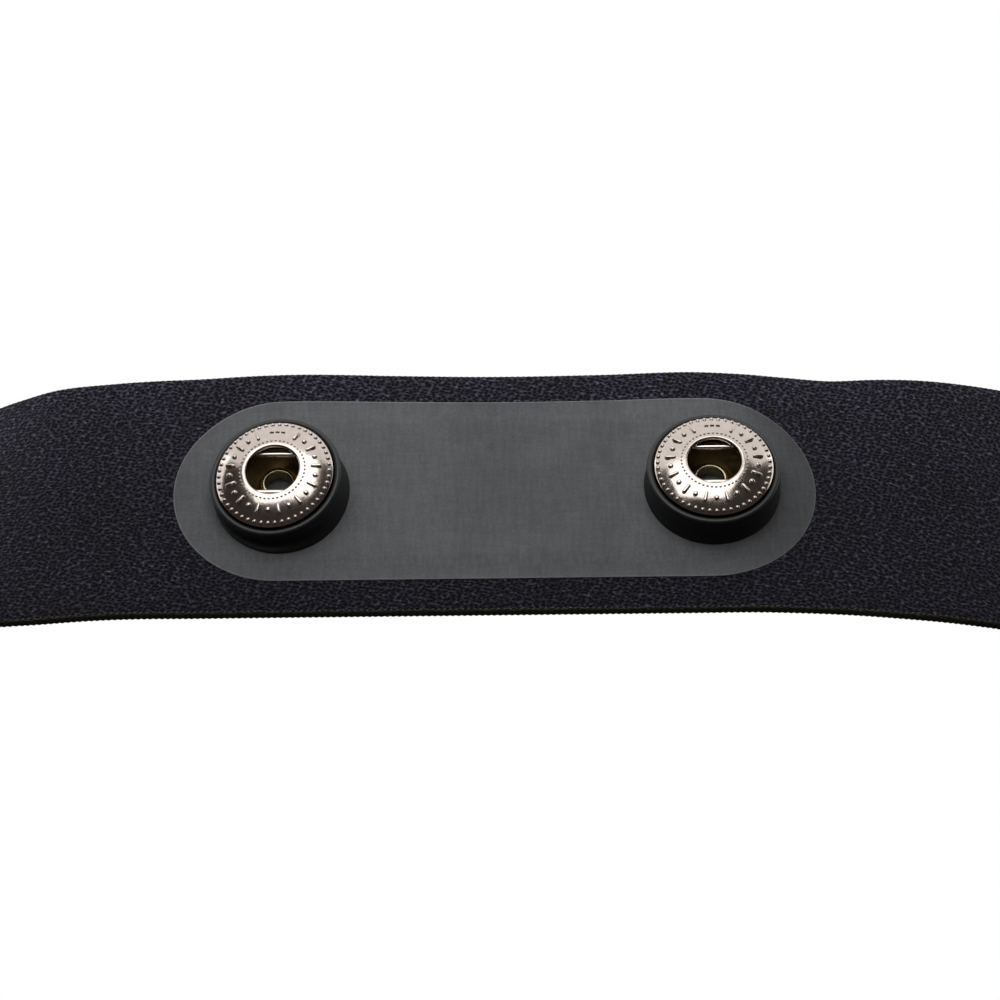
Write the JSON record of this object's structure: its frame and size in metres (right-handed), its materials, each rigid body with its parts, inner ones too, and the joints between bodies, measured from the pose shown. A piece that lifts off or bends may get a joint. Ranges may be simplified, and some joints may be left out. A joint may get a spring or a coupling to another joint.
{
  "type": "elastic chest strap with snap sockets",
  "caption": "Elastic chest strap worn as a closed loop, with a bonded front patch, snap sockets for a clip-on sensor, inner electrode pads, and a hook, ring and length slider at the back.",
  "frame": {"origin": "bottom centre of the bounding box: under the loop's middle, in the plane of the strap's lower edge", "axes": "+Z across the strap's width, +X to the right along the front seen from outside, +Y from the front to the back; the sockets face -Y"},
  "size_m": [0.2266, 0.1886, 0.03],
  "materials": {
    "textile": "matte knitted elastic",
    "elastic": "matte woven elastic",
    "thread": "matte thread",
    "patch": "matte rubberised film",
    "liner": "matte film",
    "electrode": "satin conductive rubber",
    "boss_rubber": "matte moulded rubber",
    "nickel": "bright nickel plate",
    "cage_metal": "dull plated brass",
    "spring_steel": "bright spring wire",
    "plastic": "fine matte moulded plastic"
  },
  "bodies": {
    "strap": {"front_band": "textile", "front_patch": "patch", "backing_liner": "liner", "electrode_left": "electrode", "electrode_right": "electrode", "rear_elastic": "elastic", "adjuster_return": "elastic", "ring_stitches": "thread", "seam_stitches": "thread", "socket_boss_left": "boss_rubber", "socket_cage_left": "cage_metal", "socket_cap_left": "nickel", "socket_post_left": "cage_metal", "socket_boss_right": "boss_rubber", "socket_cage_right": "cage_metal", "socket_cap_right": "nickel", "socket_post_right": "cage_metal"},
    "slider": {"slider": "plastic", "slider_wrap": "elastic", "slider_stitches": "thread"},
    "hook": {"hook": "plastic"},
    "loop_ring": {"loop_ring": "plastic"},
    "spring_wire_left_upper": {"spring_wire_left_upper": "spring_steel"},
    "spring_wire_left_lower": {"spring_wire_left_lower": "spring_steel"},
    "spring_wire_right_upper": {"spring_wire_right_upper": "spring_steel"},
    "spring_wire_right_lower": {"spring_wire_right_lower": "spring_steel"}
  },
  "joints": [
    {"name": "hook_swing", "type": "hinge", "parent": "strap", "child": "hook", "pos_m": [-0.02, 0.0901, 0.015], "axis": [0, 0, -1], "range_deg": [0, 75]},
    {"name": "ring_swing", "type": "hinge", "parent": "strap", "child": "loop_ring", "pos_m": [-0.045, 0.09002, 0.015], "axis": [0, 0, -1], "range_deg": [0, 60]},
    {"name": "slider_travel", "type": "slide", "parent": "strap", "child": "slider", "axis": [1, 0, 0], "range_m": [-0.02, 0.02], "deforming": ["adjuster_return"]},
    {"name": "wire_left_upper_spread", "type": "slide", "parent": "strap", "child": "spring_wire_left_upper", "axis": [0, 0, 1], "range_m": [0, 0.00035], "stiffness_N_per_m": 800},
    {"name": "wire_left_lower_spread", "type": "slide", "parent": "strap", "child": "spring_wire_left_lower", "axis": [0, 0, -1], "range_m": [0, 0.00035], "stiffness_N_per_m": 800},
    {"name": "wire_right_upper_spread", "type": "slide", "parent": "strap", "child": "spring_wire_right_upper", "axis": [0, 0, 1], "range_m": [0, 0.00035], "stiffness_N_per_m": 800},
    {"name": "wire_right_lower_spread", "type": "slide", "parent": "strap", "child": "spring_wire_right_lower", "axis": [0, 0, -1], "range_m": [0, 0.00035], "stiffness_N_per_m": 800}
  ]
}
